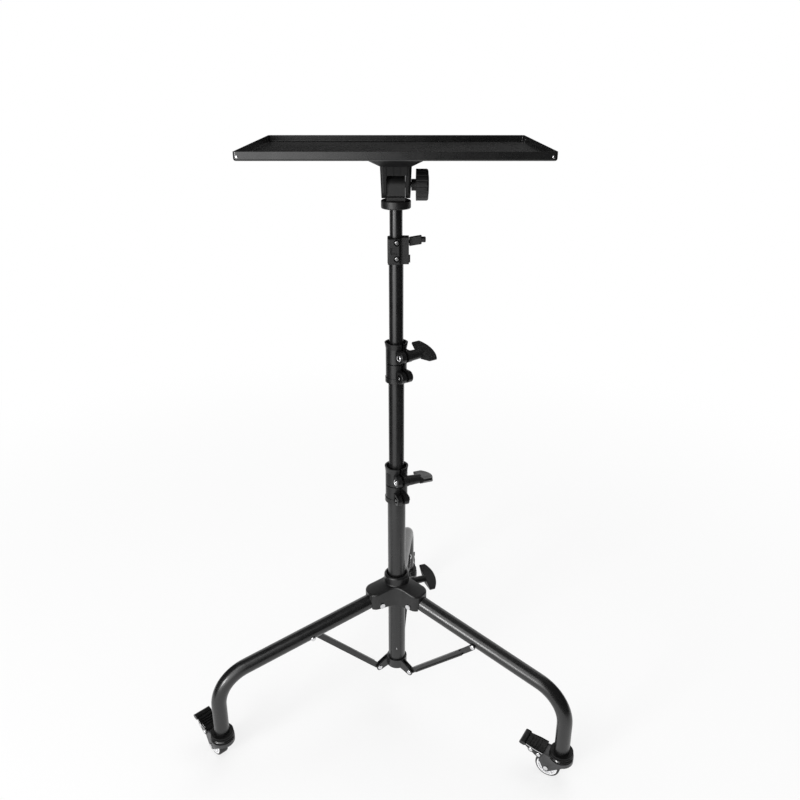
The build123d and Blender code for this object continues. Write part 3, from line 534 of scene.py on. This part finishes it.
def dress_tray():
    low = lowest("tray")
    high = highest("tray")
    middle = (low + high) / 2
    inset = tray_rivet_inset * mm
    for end, x in (("left", low.x + inset), ("right", high.x - inset)):
        for wall, y, axis in (("front", low.y, front), ("back", high.y, -front)):
            rivet = lathe(f"tray_rivet_{wall}_{end}", dome_profile(tray_rivet_radius, tray_rivet_height))
            fasten(rivet, Vector((x, y, low.z + tray_rivet_rise * mm)), axis, "head", "bright_steel")
    along, across = (spacing / 2 * mm for spacing in floor_screw_spacing)
    screw_spots = ((-along, -across), (along, -across), (along, across), (-along, across))
    for number, (x, y) in enumerate(screw_spots, 1):
        screw = cross_head(f"tray_floor_screw_{number}", floor_screw_radius, floor_screw_height)
        place = Vector((middle.x + x, middle.y + y, low.z + tray_sheet * mm))
        fasten(screw, place, up, "head", "black_powder_coat")


def dress_head():
    screw = joint_point("tilt_knob_turn")
    cap = lathe("tilt_knob_cap", disc_profile(knob_cap_radius, knob_cap_height))
    place = Vector((highest("tilt_knob").x, screw.y, screw.z))
    fasten(cap, place, joint_axis("tilt_knob_turn"), "tilt_screw", "black_moulding")


def dress_lever_clamp():
    low = lowest("top_clamp")
    for name, height in pocket_heights.items():
        place = Vector((mast.x + pocket_side * mm, low.y + pocket_depth * mm, low.z + height * mm))
        # Painted shade: a near-black disc on the pocket's floor, under the screw
        shade = lathe(f"top_clamp_pocket_{name}", disc_profile(pocket_painted_shade_radius, pocket_painted_shade_height))
        fasten(shade, place, front, "second_mast", "black_tyre", "painted_recess_shade")
        screw = cross_head(f"top_clamp_screw_{name}", pocket_screw_radius, pocket_screw_height)
        fasten(screw, place, front, "second_mast", "dark_pressing", "dull_zinc")


def dress_ear_clamp(name, body):
    far = joint_point(f"{name}_wing_turn")
    axis = joint_axis(f"{name}_wing_turn")
    near = far - axis * ear_span * mm
    drop = up * ear_bolt_spacing * mm
    button = socket_head(f"{name}_clamp_bolt", ear_button_radius, ear_button_height)
    fasten(button, near, -axis, body, "bright_steel")
    # Painted shade: a near-black disc in the button's socket
    shade_top = recess_floor_share * ear_button_height + ear_socket_painted_shade
    shade = lathe(f"{name}_clamp_socket", disc_profile(ear_socket_share * ear_button_radius, shade_top))
    fasten(shade, near, -axis, body, "black_tyre", "painted_recess_shade")
    # Painted shade: a thin near-black ring round the stud, for its dark recess
    stud_painted_shade = lathe(f"{name}_clamp_washer", disc_profile(ear_stud_painted_shade_radius, ear_stud_painted_shade_height))
    fasten(stud_painted_shade, near - drop, -axis, body, "black_tyre", "painted_recess_shade")
    stud = lathe(f"{name}_clamp_stud", dome_profile(ear_stud_radius, ear_stud_height))
    fasten(stud, near - drop, -axis, body, "dark_pressing", "dull_zinc")
    nut_name = f"{name}_clamp_far_nut"
    nut = nut_on_bolt(nut_name, ear_nut_across, ear_nut_height, ear_bolt_radius, ear_bolt_proud)
    fasten(nut, far - drop, axis, body, "bright_steel")


def dress_brace(side):
    pin = joint_point(f"leg_fold_{side}")
    tangent = joint_axis(f"leg_fold_{side}")
    outward = (Vector((pin.x, pin.y, 0)) - mast).normalized()
    rivet = mast + outward * brace_rivet_reach * mm + up * brace_rivet_height * mm
    on_brace = lathe(f"brace_rivet_{side}", dome_profile(brace_rivet_radius, brace_rivet_dome))
    fasten(on_brace, rivet - tangent * brace_outer_face * mm, -tangent, f"brace_{side}", "bright_steel")
    on_leg = lathe(f"leg_rivet_{side}", dome_profile(brace_rivet_radius, brace_rivet_dome))
    fasten(on_leg, rivet + tangent * leg_radius * mm, tangent, f"leg_{side}", "bright_steel")
    ear_pin = joint_point(f"brace_turn_{side}")
    for name, direction in (("inner", 1), ("outer", -1)):
        offset = (direction * ear_pin_half_span - ear_pin_side) * mm
        head = lathe(f"bracket_pin_{name}_{side}", dome_profile(ear_pin_radius, ear_pin_dome))
        fasten(head, ear_pin + tangent * offset, tangent * direction, "lower_mast", "bright_steel")


def dress_mast():
    foot = lowest("lower_tube")
    dot = lathe("mast_stop_rivet", dome_profile(stop_rivet_radius, stop_rivet_dome))
    place = Vector((mast.x, foot.y, foot.z + stop_rivet_rise * mm))
    fasten(dot, place, front, "lower_mast", "bright_steel")
    plug = lathe("mast_plug", disc_profile(mast_plug_radius, mast_plug_height, edge=mast_plug_edge))
    fasten(plug, Vector((mast.x, mast.y, foot.z)), -up, "lower_mast", "black_moulding")


def dress_caster(side):
    swivel = joint_point(f"caster_swivel_{side}")
    wheel = joint_point(f"wheel_spin_{side}")
    axle = joint_axis(f"wheel_spin_{side}")
    trail = Vector((wheel.x - swivel.x, wheel.y - swivel.y, 0)).normalized()
    foot = Vector((swivel.x, swivel.y, 0))
    pedal = f"pedal_{side}"

    def spot(along, beside, above):
        """A place near the caster."""
        return foot + (trail * along + axle * beside + up * above) * mm

    rivets = {
        "pedal_pivot_rivet": (pedal_pivot_place, pedal_face),
        "pedal_rivet": (pedal_rivet_place, pedal_rivet_face),
    }
    for hand, sign in hands.items():
        outward = axle * sign
        along, above = pedal_rivet_place
        lobe_profile = disc_profile(pedal_lobe_radius, pedal_lobe_proud, seat=pedal_sheet)
        lobe = lathe(f"pedal_lobe_{side}_{hand}", lobe_profile)
        place = spot(along, sign * pedal_rivet_face, above)
        fasten(lobe, place, outward, pedal, "black_moulding", "pedal_moulding")
        for name, ((along, above), face) in rivets.items():
            rivet = lathe(f"{name}_{side}_{hand}", dome_profile(pedal_rivet_radius, pedal_rivet_dome))
            fasten(rivet, spot(along, sign * face, above), outward, pedal, "bright_steel")
        ends = [spot(along, sign * beside, above) for along, beside, above in pedal_edge_stations]
        for number, (start, end) in enumerate(zip(ends, ends[1:]), 1):
            run = end - start
            strip_name = f"pedal_edge_{side}_{hand}_{number}"
            strip = block(strip_name, 2 * pedal_edge_proud, pedal_edge_height, 0.0, run.length / mm)
            forward = run.normalized()
            sideways = (axle - forward * axle.dot(forward)).normalized()
            turn = Matrix((sideways, forward.cross(sideways), forward)).transposed().to_4x4()
            set_down(strip, Matrix.Translation(start) @ turn, pedal, "bright_steel")
    bevel = lathe(f"collar_bevel_{side}", collar_bevel_profile, steps=collar_bevel_steps)
    fasten(bevel, foot, up, f"leg_{side}", "black_moulding", "bevel_moulding")
    along, above = brake_tongue_place
    length, width, height = brake_tongue_size
    tongue = block(f"brake_tongue_{side}", length, width, -height / 2, height / 2)
    turn = Matrix((trail, up.cross(trail), up)).transposed().to_4x4()
    set_down(tongue, Matrix.Translation(spot(along, 0, above)) @ turn, pedal, "black_tyre")


dress_tray()
dress_head()
dress_lever_clamp()
dress_ear_clamp("lower", "lower_mast")
dress_ear_clamp("middle", "third_mast")
dress_mast()
for side in sides:
    dress_brace(side)
    dress_caster(side)


# Floor, light and camera
def combine(tree, operation, first, second):
    """One value worked out from two others."""
    node = tree.nodes.new("ShaderNodeMath")
    node.operation = operation
    tree.links.new(first, node.inputs[0])
    tree.links.new(second, node.inputs[1])
    return node.outputs[0]


def white_for_lookers(tree, plain, shader_kind, share=None):
    """Mix a shader with plain white where it is seen directly, in gloss or through glass."""
    path = tree.nodes.new("ShaderNodeLightPath")
    seen = path.outputs["Is Camera Ray"]
    for ray in ("Is Glossy Ray", "Is Transmission Ray"):
        seen = combine(tree, "MAXIMUM", seen, path.outputs[ray])
    if share is not None:
        seen = combine(tree, "MULTIPLY", seen, share)
    glow = tree.nodes.new(shader_kind)
    glow.inputs["Color"].default_value = white
    glow.inputs["Strength"].default_value = 1.0
    mix = tree.nodes.new("ShaderNodeMixShader")
    tree.links.new(seen, mix.inputs["Fac"])
    tree.links.new(plain, mix.inputs[1])
    tree.links.new(glow.outputs[0], mix.inputs[2])
    return mix.outputs[0]


def plain_material(name, tone, roughness, specular):
    """A plain grey material for what stands round the object."""
    material = bpy.data.materials.new(name)
    material.use_nodes = True
    shader = material.node_tree.nodes["Principled BSDF"]
    shader.inputs["Base Color"].default_value = grey(tone)
    shader.inputs["Roughness"].default_value = roughness
    shader.inputs["Specular IOR Level"].default_value = specular
    return material


def make_floor():
    half = floor_half_width
    square = [(-half, -half, 0), (half, -half, 0), (half, half, 0), (-half, half, 0)]
    mesh = bpy.data.meshes.new("floor")
    mesh.from_pydata(square, [], [(0, 1, 2, 3)])
    material = plain_material("pale_floor", floor_tone, floor_roughness, floor_specular)
    tree = material.node_tree
    place = tree.nodes.new("ShaderNodeTexCoord")
    distance = tree.nodes.new("ShaderNodeVectorMath")
    distance.operation = "LENGTH"
    tree.links.new(place.outputs["Object"], distance.inputs[0])
    fade = tree.nodes.new("ShaderNodeMapRange")
    fade.interpolation_type = "SMOOTHSTEP"
    fade.inputs["From Min"].default_value = floor_near
    fade.inputs["From Max"].default_value = floor_far
    fade.inputs["To Min"].default_value = floor_white_share
    tree.links.new(distance.outputs["Value"], fade.inputs["Value"])
    shader = tree.nodes["Principled BSDF"].outputs["BSDF"]
    surface = white_for_lookers(tree, shader, "ShaderNodeEmission", fade.outputs["Result"])
    tree.links.new(surface, tree.nodes["Material Output"].inputs["Surface"])
    mesh.materials.append(material)
    link("floor", mesh)


def make_world():
    world = bpy.data.worlds.new("studio")
    world.use_nodes = True
    tree = world.node_tree
    background = tree.nodes["Background"]
    background.inputs["Color"].default_value = white
    background.inputs["Strength"].default_value = world_strength
    surface = white_for_lookers(tree, background.outputs["Background"], "ShaderNodeBackground")
    tree.links.new(surface, tree.nodes["World Output"].inputs["Surface"])
    bpy.context.scene.world = world


def card_edge(start, end, height):
    """Points along the edge of a card that is bent round the stand."""
    turns = [radians(start + (end - start) * step / card_steps) for step in range(card_steps + 1)]
    return [mast + Vector((sin(turn), -cos(turn), 0)) * card_reach + up * height for turn in turns]


def make_card(name, points, faces):
    """A dark card which only reflections see."""
    mesh = bpy.data.meshes.new(name)
    mesh.from_pydata(points, [], faces)
    mesh.materials.append(plain_material(name, card_tone, card_roughness, plain_specular))
    card = link(name, mesh)
    card.visible_camera = False
    card.visible_diffuse = False
    card.visible_shadow = False


def make_cards():
    """The cards round the stand and the lid over it."""
    strips = []
    for step in range(card_steps):
        above = card_steps + 1 + step
        strips.append((step, step + 1, above + 1, above))
    for hand, (start, end, low) in cards.items():
        rim = card_edge(start, end, low) + card_edge(start, end, card_top)
        make_card(f"dark_card_{hand}", rim, strips)
    lid = card_edge(*lid_turns, card_top)
    make_card("dark_card_lid", lid, [tuple(range(len(lid)))])


def make_lamp(name, place, size, power):
    """A square lamp that points at the stand."""
    lamp = bpy.data.lights.new(name, "AREA")
    lamp.shape = "RECTANGLE"
    lamp.size, lamp.size_y = size
    lamp.energy = power
    holder = link(name, lamp)
    holder.location = mast + Vector(place)
    aim = mast + up * aim_height - holder.location
    holder.rotation_euler = aim.to_track_quat("-Z", "Y").to_euler()


def make_camera():
    lens = bpy.data.cameras.new("camera")
    lens.sensor_fit = "HORIZONTAL"
    lens.sensor_width = sensor_width
    lens.lens = camera_focal_pixels * sensor_width / image_width
    lens.clip_end = camera_sight
    camera = link("camera", lens)
    camera.location = mast + Vector(camera_place) * mm
    camera.rotation_euler = (radians(camera_tilt), 0, 0)
    bpy.context.scene.camera = camera


make_floor()
make_world()
make_cards()
for lamp_name, (place, size, power) in lamps.items():
    make_lamp(lamp_name, place, size, power)
make_camera()
bpy.context.scene.view_settings.view_transform = "Standard"
